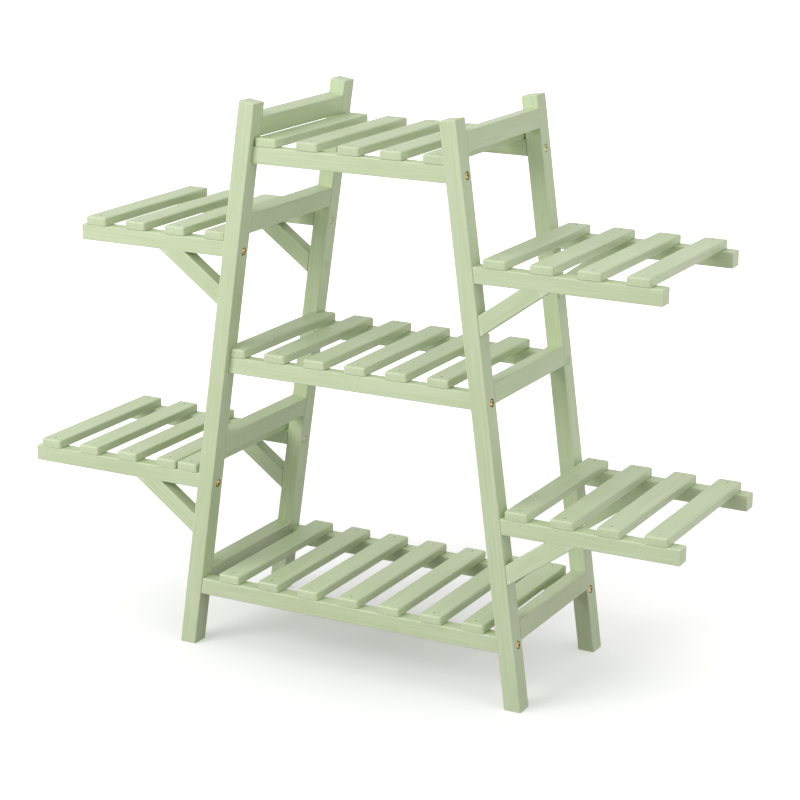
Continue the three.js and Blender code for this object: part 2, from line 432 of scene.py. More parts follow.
def nodes_of(kind):
    """The nodes of a kind by name, such as rung, rung_left or slat_top."""
    return [node for node in NODES if node.startswith(f"{kind}_")]


# ---------------------------------------------------------------- timber


def axes(along, face, at):
    """Lays local Z along the grain and turns local Y as near as it goes to the face's direction."""
    z = along.normalized()
    x = face.cross(z).normalized()
    y = z.cross(x)
    return Matrix.Translation(at) @ Matrix((x, y, z)).transposed().to_4x4()


def stock(width, thickness, length):
    """Sawn stock on the Z axis, its middle at the origin."""
    bm = bmesh.new()
    bmesh.ops.create_cube(bm, size=1.0)
    bmesh.ops.scale(bm, vec=(width, thickness, length), verts=bm.verts)
    return bm


def ease(bm, edges, radius, segments):
    """Rounds edges over."""
    bmesh.ops.bevel(
        bm,
        geom=list(edges),
        offset=radius,
        offset_type="OFFSET",
        segments=segments,
        profile=0.5,
        affect="EDGES",
        clamp_overlap=True,
        material=-1,
    )


def edges_along(bm, axis):
    """The edges that run along an axis of the stock."""

    def runs(edge):
        way = edge.verts[1].co - edge.verts[0].co
        return abs(way[axis]) > 0.9 * way.length

    return [edge for edge in bm.edges if runs(edge)]


def rim(bm, axis, side):
    """The edges round the face at one end of an axis."""
    reach = max(vert.co[axis] * side for vert in bm.verts)

    def on_rim(edge):
        return all(vert.co[axis] * side > reach - 1e-6 for vert in edge.verts)

    return [edge for edge in bm.edges if on_rim(edge)]


def scribe(bm, end, matrix, normal, point):
    """Slides one end of the stock along the grain onto a plane, as a scribed joint is sawn."""
    turned = matrix.to_3x3().transposed() @ normal
    offset = turned.dot(matrix.inverted() @ point)
    verts = [vert for vert in bm.verts if vert.co.z * end > 0]
    tip = max(vert.co.z * end for vert in verts) * end
    shear = Matrix.Identity(4)
    shear[2][0] = -turned.x / turned.z
    shear[2][1] = -turned.y / turned.z
    shear[2][3] = offset / turned.z - tip
    bmesh.ops.transform(bm, matrix=shear, verts=verts)


def between(matrix, start, finish):
    """Moves a matrix along its own Z to halfway between two planes, and gives the length too."""
    grain = matrix.to_3x3() @ Z

    def reach(plane):
        normal, point = plane
        return (point - matrix.translation).dot(normal) / grain.dot(normal)

    low, high = reach(start), reach(finish)
    middle = matrix.copy()
    middle.translation = matrix.translation + grain * ((low + high) / 2)
    return middle, high - low


def scribed_bar(width, thickness, arris, matrix, start, finish, start_ease=0.0, finish_ease=0.0):
    """Eased stock whose ends lie on two planes, with its place and its half sizes."""
    place, length = between(matrix, start, finish)
    bm = stock(width, thickness, length)
    ease(bm, edges_along(bm, 2), arris, segments=3)
    for end, radius in ((-1, start_ease), (1, finish_ease)):
        if radius:
            ease(bm, rim(bm, 2, end), radius, segments=3)
    scribe(bm, -1, place, *start)
    scribe(bm, 1, place, *finish)
    return bm, place, Vector((width, thickness, length)) / 2


def new_object(name, bm):
    """An object with the shape, in place of an older one of that name."""
    old = bpy.data.objects.get(name)
    if old:
        bpy.data.objects.remove(old)
    mesh = bpy.data.meshes.new(name)
    bm.to_mesh(mesh)
    bm.free()
    piece = bpy.data.objects.new(name, mesh)
    bpy.context.collection.objects.link(piece)
    return piece


def cut_away(piece, cutters):
    """Cuts solids out of a piece and keeps the result as its mesh."""
    for number, bm in enumerate(cutters):
        cutter = new_object(f"{piece.name}_cutter_{number}", bm)
        cut = piece.modifiers.new("cut", "BOOLEAN")
        cut.operation = "DIFFERENCE"
        cut.solver = "EXACT"
        cut.object = cutter
        bpy.context.view_layer.update()
        graph = bpy.context.evaluated_depsgraph_get()
        mesh = bpy.data.meshes.new_from_object(piece.evaluated_get(graph))
        piece.modifiers.clear()
        piece.data = mesh
        bpy.data.objects.remove(cutter)


def mark_grain(mesh, half, seed):
    """Keeps each point's place in its own timber, so that grain, brush marks, wear, the painted
    highlight on the arrises and the painted shade in the bolt heads follow it.
    """
    count = len(mesh.vertices)
    spots = [n for vert in mesh.vertices for n in vert.co]
    place = mesh.attributes.new("place", "FLOAT_VECTOR", "POINT")
    place.data.foreach_set("vector", spots)
    size = mesh.attributes.new("half", "FLOAT_VECTOR", "POINT")
    size.data.foreach_set("vector", list(half) * count)
    tint = mesh.attributes.new("tint", "FLOAT", "POINT")
    tint.data.foreach_set("value", [seed] * count)


def set_in_place(piece, place, half, material):
    """Marks the grain, moves the mesh to its place and gives the piece its finish."""
    mesh = piece.data
    mark_grain(mesh, half, random.Random(piece.name).random())
    mesh.transform(place)
    mesh.shade_smooth()
    mesh.set_sharp_from_angle(angle=CREASE)
    shading = piece.modifiers.new("flat faces", "WEIGHTED_NORMAL")
    shading.keep_sharp = True
    mesh.materials.clear()
    mesh.materials.append(material)
    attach(piece, BODY)


def finish_timber(piece, place, half, node=None):
    """Finishes a piece of timber and, where it stands for a solid, sees that it fills it."""
    set_in_place(piece, place, half, sage_paint())
    if node is None:
        return
    low, high = corners(node)
    xyz = [[vert.co[axis] for vert in piece.data.vertices] for axis in range(3)]
    gap = max(
        max(abs(min(xyz[axis]) - low[axis]), abs(max(xyz[axis]) - high[axis]))
        for axis in range(3)
    )
    if gap > FIT:
        raise RuntimeError(f"{piece.name} misses {node} by {gap / MM:.2f} mm")


# ---------------------------------------------------------------- finishes


class Nodes:
    """A material's nodes, laid out as they are made."""

    def __init__(self, name):
        self.material = bpy.data.materials.new(name)
        self.material.use_nodes = True
        self.tree = self.material.node_tree
        self.tree.nodes.clear()
        self.output = self.make("ShaderNodeOutputMaterial")

    def make(self, kind, inputs=None, **settings):
        node = self.tree.nodes.new(kind)
        node.location = (len(self.tree.nodes) * 60 - 1200, 0)
        for key, value in settings.items():
            setattr(node, key, value)
        for key, value in (inputs or {}).items():
            self.join(value, node.inputs[key])
        return node

    def join(self, value, socket):
        if isinstance(value, bpy.types.NodeSocket):
            self.tree.links.new(value, socket)
        else:
            socket.default_value = value

    def maths(self, operation, first, second=0.0, third=0.0):
        node = self.make("ShaderNodeMath", operation=operation)
        for socket, value in zip(node.inputs, (first, second, third)):
            self.join(value, socket)
        return node.outputs[0]

    def vectors(self, operation, first, second=None, scale=None):
        node = self.make("ShaderNodeVectorMath", operation=operation)
        self.join(first, node.inputs[0])
        if second is not None:
            self.join(second, node.inputs[1])
        if scale is not None:
            self.join(scale, node.inputs["Scale"])
        return node.outputs["Value" if operation == "LENGTH" else "Vector"]

    def remap(self, value, low, high, to_low=0.0, to_high=1.0, smooth=False):
        kind = "SMOOTHSTEP" if smooth else "LINEAR"
        node = self.make("ShaderNodeMapRange", interpolation_type=kind)
        for key, number in zip(
            ("Value", "From Min", "From Max", "To Min", "To Max"),
            (value, low, high, to_low, to_high),
        ):
            self.join(number, node.inputs[key])
        return node.outputs[0]

    def blend(self, factor, first, second, kind="MIX"):
        node = self.make("ShaderNodeMix", data_type="RGBA", blend_type=kind)
        self.join(factor, node.inputs[0])
        self.join(first, node.inputs[6])
        self.join(second, node.inputs[7])
        return node.outputs[2]

    def noise(self, where, scale=1.0, detail=2.0, roughness=0.5, distortion=0.0):
        node = self.make(
            "ShaderNodeTexNoise",
            {
                "Vector": where,
                "Scale": scale,
                "Detail": detail,
                "Roughness": roughness,
                "Distortion": distortion,
            },
        )
        return node.outputs[0]

    def stretch(self, where, sizes):
        """Scales the pattern's space, so that one unit is the given length on each axis."""
        return self.make(
            "ShaderNodeMapping",
            {"Vector": where, "Scale": tuple(1 / size for size in sizes)},
        ).outputs[0]


def rgba(colour):
    return (*colour, 1.0)


def grain_space(nodes):
    """A point's place in its timber, moved by a different amount on each piece."""
    place = nodes.make("ShaderNodeAttribute", attribute_name="place").outputs["Vector"]
    tint = nodes.make("ShaderNodeAttribute", attribute_name="tint").outputs["Fac"]
    away = nodes.vectors("SCALE", (7.3, 11.9, 5.1), scale=tint)
    return place, nodes.vectors("ADD", place, away), tint


def arris_distance(nodes, place):
    """Distance to the nearest arris: the second smallest of the distances to the faces."""
    half = nodes.make("ShaderNodeAttribute", attribute_name="half").outputs["Vector"]
    inward = nodes.vectors("SUBTRACT", half, nodes.vectors("ABSOLUTE", place))
    split = nodes.make("ShaderNodeSeparateXYZ", {"Vector": inward}).outputs
    low = nodes.maths("MINIMUM", split[0], split[1])
    high = nodes.maths("MAXIMUM", split[0], split[1])
    return nodes.maths("MAXIMUM", low, nodes.maths("MINIMUM", high, split[2]))


def sage_paint():
    """Satin sage paint brushed on planed softwood."""
    if "sage_paint_brushed" in bpy.data.materials:
        return bpy.data.materials["sage_paint_brushed"]
    finish = bpy.context.scene.stand_finish
    nodes = Nodes("sage_paint_brushed")
    place, moved, tint = grain_space(nodes)

    clouds = nodes.noise(nodes.stretch(moved, (0.05, 0.05, 0.16)), detail=3.0)
    rings = nodes.stretch(moved, (0.0028, 0.0028, 0.11))
    grain = nodes.noise(rings, detail=3.0, roughness=0.55, distortion=0.35)
    fibres = nodes.noise(nodes.stretch(moved, (0.0011, 0.0011, 0.035)))
    brush = nodes.noise(nodes.stretch(moved, (0.00075, 0.00075, 0.06)), roughness=0.6)
    peel = nodes.noise(moved, scale=520.0)
    specks = nodes.noise(moved, scale=150.0, detail=3.0, roughness=0.6)

    depth = nodes.maths("MULTIPLY_ADD", grain, 0.55, nodes.maths("MULTIPLY", clouds, 0.45))
    depth = nodes.remap(depth, 0.36, 0.64, smooth=True)
    colour = nodes.blend(depth, rgba(finish.paint_deep), rgba(finish.paint_light))
    shade = nodes.remap(fibres, 0.3, 0.7, 0.975, 1.02)
    shade = nodes.maths("MULTIPLY", shade, nodes.remap(tint, 0, 1, 0.975, 1.02))
    shade = nodes.make("ShaderNodeCombineColor", {0: shade, 1: shade, 2: shade}).outputs[0]
    colour = nodes.blend(1.0, colour, shade, "MULTIPLY")

    # Mixes the arrises towards the paler colour: partly paint rubbed thin, partly a painted
    # highlight along the rounded arris, broken up by the specks.
    rubbed = nodes.remap(arris_distance(nodes, place), 0.0022, 0.0004, smooth=True)
    rubbed = nodes.maths("MULTIPLY", rubbed, nodes.remap(specks, 0.34, 0.62, 0.15, 0.85))
    colour = nodes.blend(rubbed, colour, rgba(finish.arris_wear_and_highlight))

    gloss = nodes.remap(brush, 0.3, 0.7, finish.sheen - 0.07, finish.sheen + 0.07)
    gloss = nodes.maths("ADD", gloss, nodes.remap(clouds, 0.35, 0.65, -0.04, 0.05))
    gloss = nodes.maths("MULTIPLY_ADD", rubbed, 0.08, gloss)

    lay = nodes.maths("MULTIPLY_ADD", grain, 0.6, nodes.maths("MULTIPLY", brush, 0.25))
    lay = nodes.maths("MULTIPLY_ADD", peel, 0.12, lay)
    bump = nodes.make(
        "ShaderNodeBump", {"Height": lay, "Strength": 0.5, "Distance": 0.00022}
    ).outputs[0]
    surface = nodes.make(
        "ShaderNodeBsdfPrincipled",
        {"Base Color": colour, "Roughness": gloss, "Normal": bump, "IOR": 1.46},
    )
    nodes.join(surface.outputs[0], nodes.output.inputs[0])
    return nodes.material


def bolt_brass():
    """Brass with painted shade in the cross recess and the groove round the dome, a painted dark
    reflection at the dome's centre, random dark stains of oxide, and stray paint on some heads.
    """
    if "bolt_brass" in bpy.data.materials:
        return bpy.data.materials["bolt_brass"]
    hardware = bpy.context.scene.stand_hardware
    finish = bpy.context.scene.stand_finish
    radius = hardware.bolt_head / 2
    nodes = Nodes("bolt_brass")
    place, moved, _ = grain_space(nodes)
    lathe = nodes.noise(nodes.stretch(moved, (0.0006, 0.0006, 0.02)))
    stain = nodes.noise(moved, scale=420.0, detail=3.0, roughness=0.6)

    split = nodes.make("ShaderNodeSeparateXYZ", {"Vector": place}).outputs
    square = nodes.maths("MULTIPLY", split[0], split[0])
    square = nodes.maths("MULTIPLY_ADD", split[1], split[1], square)
    out = nodes.maths("SQRT", square)
    dome = nodes.maths("MULTIPLY_ADD", square, -0.5 / DOME_CURVE, DOME_CROWN)
    sunk = nodes.maths("SUBTRACT", dome, split[2])
    # Painted shade: points sunk in the cross recess and the groove between dome and rim take the
    # dark colour, and so does the centre of the dome as a painted dark reflection; only the stain
    # noise below is real oxide.
    recess = nodes.remap(sunk, 0.03 * MM, 0.1 * MM)
    groove = nodes.remap(out, radius * 0.72, radius * 0.8, smooth=True)
    rim = nodes.remap(out, radius * 0.97, radius * 0.99, 1.0, 0.0)
    centre_shade = nodes.remap(out, radius * 0.16, radius * 0.3, 1.0, 0.0, smooth=True)
    recess = nodes.maths("MAXIMUM", recess, centre_shade)
    dark = nodes.maths("MAXIMUM", recess, nodes.maths("MULTIPLY", groove, rim))
    dark = nodes.maths("MAXIMUM", dark, nodes.remap(stain, 0.5, 0.75, 0.0, 0.7, smooth=True))
    colour = nodes.blend(dark, rgba(hardware.brass), rgba(hardware.tarnish_and_shade))

    cover = nodes.make("ShaderNodeAttribute", attribute_name="cover").outputs["Fac"]
    paint = nodes.remap(nodes.maths("MULTIPLY_ADD", stain, 0.5, cover), 0.6, 0.9, smooth=True)
    colour = nodes.blend(paint, colour, rgba(finish.paint_light))
    gloss = nodes.remap(nodes.maths("MAXIMUM", dark, paint), 0, 1, 0.2, 0.5)
    bump = nodes.make(
        "ShaderNodeBump", {"Height": lathe, "Strength": 0.4, "Distance": 0.0001}
    ).outputs[0]
    metal = nodes.maths("SUBTRACT", 1.0, paint)
    surface = nodes.make(
        "ShaderNodeBsdfPrincipled",
        {"Base Color": colour, "Roughness": gloss, "Normal": bump, "Metallic": metal},
    )
    nodes.join(surface.outputs[0], nodes.output.inputs[0])
    return nodes.material


def nail_finish():
    """The same paint over the nail heads, made darker than the slats as painted shade of a punched
    nail hole, with rust and dirt spotted at random.
    """
    if "nail_paint" in bpy.data.materials:
        return bpy.data.materials["nail_paint"]
    hardware = bpy.context.scene.stand_hardware
    nodes = Nodes("nail_paint")
    spots = nodes.noise(nodes.make("ShaderNodeTexCoord").outputs["Object"], scale=60.0)
    # Painted shade of the nail hole, mixed at random between a lighter and a dirtier tone.
    light, dark = rgba(hardware.nail_light), rgba(hardware.nail_dirt_and_shade)
    colour = nodes.blend(nodes.remap(spots, 0.4, 0.6, smooth=True), light, dark)
    surface = nodes.make("ShaderNodeBsdfPrincipled", {"Base Color": colour, "Roughness": 0.6})
    nodes.join(surface.outputs[0], nodes.output.inputs[0])
    return nodes.material


# ---------------------------------------------------------------- pieces


def bolt_way(side, sunk):
    """The direction that a bolt's head looks in, on a leg's outer face or the sunk inner one."""
    return -outward(side) if sunk else outward(side)


def seat_cutter(side, sunk, height, y, seat):
    """The conical seat of a head, open to the leg's outer or inner face."""
    way = bolt_way(side, sunk)
    mouth, bottom = seat
    spare = 1 * MM
    slope = (mouth - bottom) / SEAT_DEPTH
    bm = bmesh.new()
    bmesh.ops.create_cone(
        bm,
        cap_ends=True,
        cap_tris=False,
        segments=40,
        radius1=bottom,
        radius2=mouth + slope * spare,
        depth=SEAT_DEPTH + spare,
    )
    middle = on_leg(side, height, y, sunk) + way * (spare - SEAT_DEPTH) / 2
    bmesh.ops.transform(bm, matrix=axes(way, Y, middle), verts=bm.verts)
    return bm


def brace_foot(level):
    """Height of the middle of a brace's foot on the leg."""
    edge = BRACE_REACH / (math.cos(BRACE_ANGLE) + math.tan(LEAN) * math.sin(BRACE_ANGLE))
    drop = edge * math.sin(BRACE_ANGLE)
    return level - ARM_HEIGHT - drop + BRACE_WIDTH / math.cos(BRACE_ANGLE) / 2


def bolt_places(side):
    """Heights on a leg of one side, and depths of the face, for the bolts and the screws."""
    outer = [(shelf_level(shelf) - CENTRE_RAIL_HEIGHT / 2, 0.0) for shelf in CENTRE_SHELVES]
    name = "left" if side < 0 else "right"
    levels = [shelf_level(shelf) for shelf in SIDE_SHELVES if shelf.endswith(name)]
    inner = [(level - ARM_HEIGHT / 2, LEG_THICKNESS) for level in levels]
    screws = [(brace_foot(level), LEG_THICKNESS) for level in levels]
    return outer + inner, screws


def bolt_line(end):
    """How far forward or back the bolts of a front or back leg are."""
    return end * (DEPTH / 2 - BOLT_DEPTH)


def rung_cutter(node):
    """The mortise that a rung's tenons need in the legs."""
    low, high = corners(node)
    side = side_of(node)
    thickness, height, _ = TENON
    spare = 2 * PAINT_LINE
    bm = stock(thickness + spare, height + spare, high.y - low.y + spare)
    place = axes(Y, up_leg(side), (low + high) / 2)
    bmesh.ops.transform(bm, matrix=place, verts=bm.verts)
    return bm


def leg_space(side, end):
    """The room that a leg takes up, with the paint line round it."""
    bm = stock(LEG_THICKNESS + 2 * PAINT_LINE, LEG_DEPTH + 2 * PAINT_LINE, 2 * HEIGHT)
    middle = on_leg(side, HEIGHT / 2, end * (DEPTH - LEG_DEPTH) / 2, LEG_THICKNESS / 2)
    bmesh.ops.transform(bm, matrix=axes(up_leg(side), Y, middle), verts=bm.verts)
    return bm


def make_leg(side_name, end_name):
    """A leg, sawn level at the foot and square at the top, with its seats and mortises."""
    side, end = SIDES[side_name], ENDS[end_name]
    timber = bpy.context.scene.stand_timber
    y = end * (DEPTH - LEG_DEPTH) / 2
    matrix = axes(up_leg(side), Y, on_leg(side, 0, y, LEG_THICKNESS / 2))
    foot = (-Z, Vector((0, 0, 0)))
    top = (up_leg(side), on_leg(side, HEIGHT))
    bm, place, half = scribed_bar(
        LEG_THICKNESS, LEG_DEPTH, timber.leg_arris, matrix, foot, top,
        start_ease=timber.foot_arris, finish_ease=timber.leg_top_arris,
    )
    bmesh.ops.transform(bm, matrix=place, verts=bm.verts)
    name = f"leg_{end_name}_{side_name}"
    piece = new_object(f"{name}_timber", bm)
    bolts, screws = bolt_places(side)
    line = bolt_line(end)
    cutters = [seat_cutter(side, sunk, height, line, BOLT_SEAT) for height, sunk in bolts]
    cutters += [seat_cutter(side, sunk, height, line, SCREW_SEAT) for height, sunk in screws]
    cutters += [rung_cutter(node) for node in nodes_of(f"rung_{side_name}")]
    cut_away(piece, cutters)
    piece.data.transform(place.inverted())
    finish_timber(piece, place, half, name)
    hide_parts(name)


def make_rung(node):
    """A rung with its tenons, which a shoulder on each end carries."""
    timber = bpy.context.scene.stand_timber
    low, high = corners(node)
    side = side_of(node)
    thickness, height, length = TENON
    body = high.y - low.y - 2 * length
    bm = stock(RUNG_THICKNESS, RUNG_HEIGHT, body)
    ease(bm, edges_along(bm, 2), timber.rung_arris, segments=3)
    for end in (-1, 1):
        shoulder = max(bm.faces, key=lambda face: face.calc_center_median().z * end)
        root = bmesh.ops.extrude_discrete_faces(bm, faces=[shoulder])["faces"][0]
        fit = (thickness / RUNG_THICKNESS, height / RUNG_HEIGHT, 1)
        bmesh.ops.scale(bm, vec=fit, verts=root.verts)
        tip = bmesh.ops.extrude_discrete_faces(bm, faces=[root])["faces"][0]
        bmesh.ops.translate(bm, vec=(0, 0, end * length), verts=tip.verts)
        ease(bm, rim(bm, 2, end), timber.tenon_arris, segments=2)
    piece = new_object(f"{node}_timber", bm)
    place = axes(Y, up_leg(side), (low + high) / 2)
    finish_timber(piece, place, Vector((RUNG_THICKNESS, RUNG_HEIGHT, body)) / 2, node)
    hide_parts(node)


def make_rail(node):
    """A shelf rail, its ends scribed to the inner faces of the legs."""
    timber = bpy.context.scene.stand_timber
    low, high = corners(node)
    middle = (low + high) / 2
    matrix = axes(X, Z, Vector((MIDDLE_X, middle.y, middle.z)))
    left = (outward(-1), on_leg(-1, 0, sunk=RAIL_CLEARANCE))
    right = (outward(1), on_leg(1, 0, sunk=RAIL_CLEARANCE))
    bm, place, half = scribed_bar(
        high.y - low.y, high.z - low.z, timber.rail_arris, matrix, left, right
    )
    piece = new_object(f"{node}_timber", bm)
    finish_timber(piece, place, half, node)
    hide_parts(node)


def make_arm(node):
    """An arm, its root scribed to the leg's outer face and its free end eased."""
    timber = bpy.context.scene.stand_timber
    low, high = corners(node)
    side = side_of(node)
    reach = high.x if side > 0 else low.x
    middle = Vector((reach, (low.y + high.y) / 2, high.z - ARM_HEIGHT / 2))
    matrix = axes(side * X, Z, middle)
    leg = (outward(side), on_leg(side, 0, sunk=-PAINT_LINE))
    free_end = (side * X, Vector((reach, 0, 0)))
    bm, place, half = scribed_bar(
        high.y - low.y, ARM_HEIGHT, timber.rail_arris, matrix, leg, free_end,
        finish_ease=timber.arm_end_arris,
    )
    piece = new_object(f"{node}_timber", bm)
    finish_timber(piece, place, half)
    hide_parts(node)


def make_brace(node):
    """The brace under an arm: housed in the arm at its head, scribed to the leg at its foot."""
    timber = bpy.context.scene.stand_timber
    low, high = corners(node)
    side = side_of(node)
    underside = high.z - ARM_HEIGHT
    reach = leg_face(underside) + BRACE_REACH
    edge = Vector((MIDDLE_X + side * reach, (low.y + high.y) / 2, underside))
    uphill = Vector((side * math.cos(BRACE_ANGLE), 0, math.sin(BRACE_ANGLE)))
    inwards = Vector((-side * math.sin(BRACE_ANGLE), 0, math.cos(BRACE_ANGLE)))
    matrix = axes(uphill, inwards, edge + inwards * BRACE_WIDTH / 2)
    leg = (outward(side), on_leg(side, 0, sunk=-PAINT_LINE))
    arm = (Z, Vector((0, 0, underside + BRACE_HOUSING)))
    thickness = high.y - low.y - 2 * BRACE_SETBACK
    bm, place, half = scribed_bar(thickness, BRACE_WIDTH, timber.rail_arris, matrix, leg, arm)
    piece = new_object(node.replace("arm_", "brace_") + "_timber", bm)
    finish_timber(piece, place, half)
    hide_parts(node)


def make_slat(node):
    """A slat with rounded corners and a well rounded upper arris."""
    timber = bpy.context.scene.stand_timber
    low, high = corners(node)
    size = high - low
    bm = stock(size.x, size.z, size.y)
    ease(bm, edges_along(bm, 1), timber.slat_corner, segments=4)
    ease(bm, rim(bm, 1, 1), timber.slat_arris, segments=4)
    ease(bm, rim(bm, 1, -1), timber.slat_under_arris, segments=2)
    piece = new_object(f"{node}_timber", bm)
    place = axes(Y, Z, (low + high) / 2)
    if node == NOTCHED_SLAT:
        piece.data.transform(place)
        cut_away(piece, [leg_space(-1, end) for end in (-1, 1)])
        piece.data.transform(place.inverted())
    finish_timber(piece, place, Vector((size.x, size.z, size.y)) / 2, node)
    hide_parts(node)


def turned(profile, steps):
    """Spins a profile of (radius, height) points once round Z and closes it."""
    bm = bmesh.new()
    verts = [bm.verts.new((radius, 0, height)) for radius, height in profile]
    edges = [bm.edges.new(pair) for pair in zip(verts, verts[1:])]
    bmesh.ops.spin(
        bm,
        geom=verts + edges,
        cent=(0, 0, 0),
        axis=(0, 0, 1),
        angle=math.tau,
        steps=steps,
        use_merge=True,
        use_duplicate=False,
    )
    bmesh.ops.remove_doubles(bm, verts=bm.verts, dist=1e-7)
    bmesh.ops.recalc_face_normals(bm, faces=bm.faces)
    return bm


def recess_wedge(width, length, depth, top, turn):
    """One bar of a cross recess, narrower at the bottom."""
    bm = stock(length, width, depth * 2)
    bottom = [vert for vert in bm.verts if vert.co.z < 0]
    bmesh.ops.scale(bm, vec=(0.25, 0.5, 0.5), verts=bottom)
    bmesh.ops.translate(bm, vec=(0, 0, top), verts=bm.verts)
    bmesh.ops.rotate(bm, matrix=Matrix.Rotation(turn, 3, "Z"), verts=bm.verts)
    return bm


def domed_head(radius):
    """Outline of a bolt head: a dome, a groove round it and a thin rim."""
    dome = [
        (radius * part, DOME_CROWN - (radius * part) ** 2 / 2 / DOME_CURVE)
        for part in (0, 0.2, 0.4, 0.6, 0.72, 0.8)
    ]
    return dome + [
        (radius * 0.87, -0.72 * MM),
        (radius * 0.95, -0.1 * MM),
        (radius * 0.985, 0),
        (radius, -0.15 * MM),
    ]


def flat_head(radius):
    """Outline of a countersunk screw head."""
    return [
        (0, 0.35 * MM),
        (radius * 0.5, 0.28 * MM),
        (radius * 0.86, 0.08 * MM),
        (radius * 0.97, -0.08 * MM),
        (radius, -0.35 * MM),
    ]


def make_bolt(name, head, shank_size, place, material, turn):
    """A bolt or screw with a cross recess, the rim of its head near local Z 0."""
    radius = head[-1][0]
    shank, length = shank_size
    profile = head + [
        (shank, shank - radius - 0.25 * MM),
        (shank, 1.0 * MM - length),
        (shank - 0.8 * MM, -length),
        (0, -length),
    ]
    piece = new_object(name, turned(profile, steps=40))
    recess = [
        recess_wedge(
            width=radius * 0.4,
            length=radius * 1.35,
            depth=2.2 * MM,
            top=0.6 * MM,
            turn=turn + quarter,
        )
        for quarter in (0.0, math.pi / 2)
    ]
    cut_away(piece, recess)
    set_in_place(piece, place, Vector((radius, radius, length)), material)
    return piece


def paint_over(piece):
    """Notes on a bolt how much of its head the brush has covered."""
    mesh = piece.data
    cover = mesh.attributes.new("cover", "FLOAT", "POINT")
    amount = PAINTED_OVER.get(piece.name, 0.0)
    cover.data.foreach_set("value", [amount] * len(mesh.vertices))


def nail_outline(radius):
    """Outline of a nail, its head a little proud of the slat at local Z 0."""
    return [
        (0, 0.22 * MM),
        (radius * 0.6, 0.2 * MM),
        (radius * 0.92, 0.08 * MM),
        (radius, -0.25 * MM),
        (radius * 0.45, -0.9 * MM),
        (radius * 0.45, -24 * MM),
        (0, -26 * MM),
    ]


def make_nails(shelf):
    """The nails of one shelf, two in every slat, with paint over their heads."""
    hardware = bpy.context.scene.stand_hardware
    outline = nail_outline(hardware.nail_head / 2)
    whole = bmesh.new()
    for node in nodes_of(f"slat_{shelf}"):
        low, high = corners(node)
        for y in (low.y + hardware.nail_inset, high.y - hardware.nail_inset):
            nail = turned(outline, steps=20)
            spot = Matrix.Translation(((low.x + high.x) / 2, y, high.z))
            bmesh.ops.transform(nail, matrix=spot, verts=nail.verts)
            mesh = bpy.data.meshes.new("nail")
            nail.to_mesh(mesh)
            nail.free()
            whole.from_mesh(mesh)
            bpy.data.meshes.remove(mesh)
    piece = new_object(f"slat_nails_{shelf}", whole)
    set_in_place(piece, Matrix.Identity(4), STAND_HALF, nail_finish())


# ---------------------------------------------------------------- stage


def floor_finish():
    """Pale matt floor: white to the camera where it is open, with the stand's soft shadow on it."""
    stage = bpy.context.scene.stand_stage
    nodes = Nodes("studio_floor")
    path = nodes.make("ShaderNodeLightPath").outputs
    seen = nodes.maths("MAXIMUM", path["Is Camera Ray"], path["Is Glossy Ray"])
    bounce, tone = ((level,) * 3 for level in (stage.floor_bounce, stage.floor_tone))
    colour = nodes.blend(seen, rgba(bounce), rgba(tone))
    matt = nodes.make("ShaderNodeBsdfDiffuse", {"Color": colour})
    spot = nodes.make("ShaderNodeTexCoord").outputs["Object"]
    away = nodes.vectors("LENGTH", spot)
    glow = nodes.remap(away, 0.0, WHITE_FLOOR, stage.floor_glow, 1.0)
    strength = nodes.maths("MULTIPLY", seen, glow)
    light = nodes.make("ShaderNodeEmission", {"Color": (1, 1, 1, 1), "Strength": strength})
    both = nodes.make("ShaderNodeAddShader", {0: matt.outputs[0], 1: light.outputs[0]})
    nodes.join(both.outputs[0], nodes.output.inputs[0])
    return nodes.material


def make_floor():
    """The studio floor, under the stand and far behind it."""
    stage = bpy.context.scene.stand_stage
    bm = bmesh.new()
    bmesh.ops.create_grid(bm, x_segments=8, y_segments=8, size=stage.floor_size / 2)
    floor = new_object("studio_floor", bm)
    floor.data.materials.append(floor_finish())


def make_world():
    """Even light from all round and more from above, white behind the stand and in its gloss."""
    stage = bpy.context.scene.stand_stage
    world = bpy.data.worlds.new("studio")
    world.use_nodes = True
    tree = world.node_tree
    tree.nodes.clear()
    make, link = tree.nodes.new, tree.links.new
    output = make("ShaderNodeOutputWorld")
    background = make("ShaderNodeBackground")
    path = make("ShaderNodeLightPath")
    seen = make("ShaderNodeMath")
    seen.operation = "MAXIMUM"
    link(path.outputs["Is Camera Ray"], seen.inputs[0])
    link(path.outputs["Is Glossy Ray"], seen.inputs[1])
    split = make("ShaderNodeSeparateXYZ")
    link(make("ShaderNodeTexCoord").outputs["Generated"], split.inputs[0])
    sky = make("ShaderNodeMapRange")
    sky.inputs["To Min"].default_value = stage.room_light
    sky.inputs["To Max"].default_value = stage.room_light + stage.sky_light
    link(split.outputs["Z"], sky.inputs["Value"])
    strength = make("ShaderNodeMix")
    link(seen.outputs[0], strength.inputs["Factor"])
    link(sky.outputs[0], strength.inputs["A"])
    strength.inputs["B"].default_value = 1.0
    link(strength.outputs[0], background.inputs["Strength"])
    link(background.outputs[0], output.inputs["Surface"])
    bpy.context.scene.world = world


def make_softbox(name, power, place):
    """A square soft light that looks at the stand."""
    lamp = bpy.data.lights.new(name, "AREA")
    lamp.shape = "SQUARE"
    lamp.size = SOFTBOX
    lamp.energy = power
    softbox = bpy.data.objects.new(name, lamp)
    way = Vector(place) - Vector(LIGHTS_AIM)
    turn = way.to_track_quat("Z", "Y").to_matrix().to_4x4()
    softbox.matrix_world = Matrix.Translation(place) @ turn
    bpy.context.collection.objects.link(softbox)


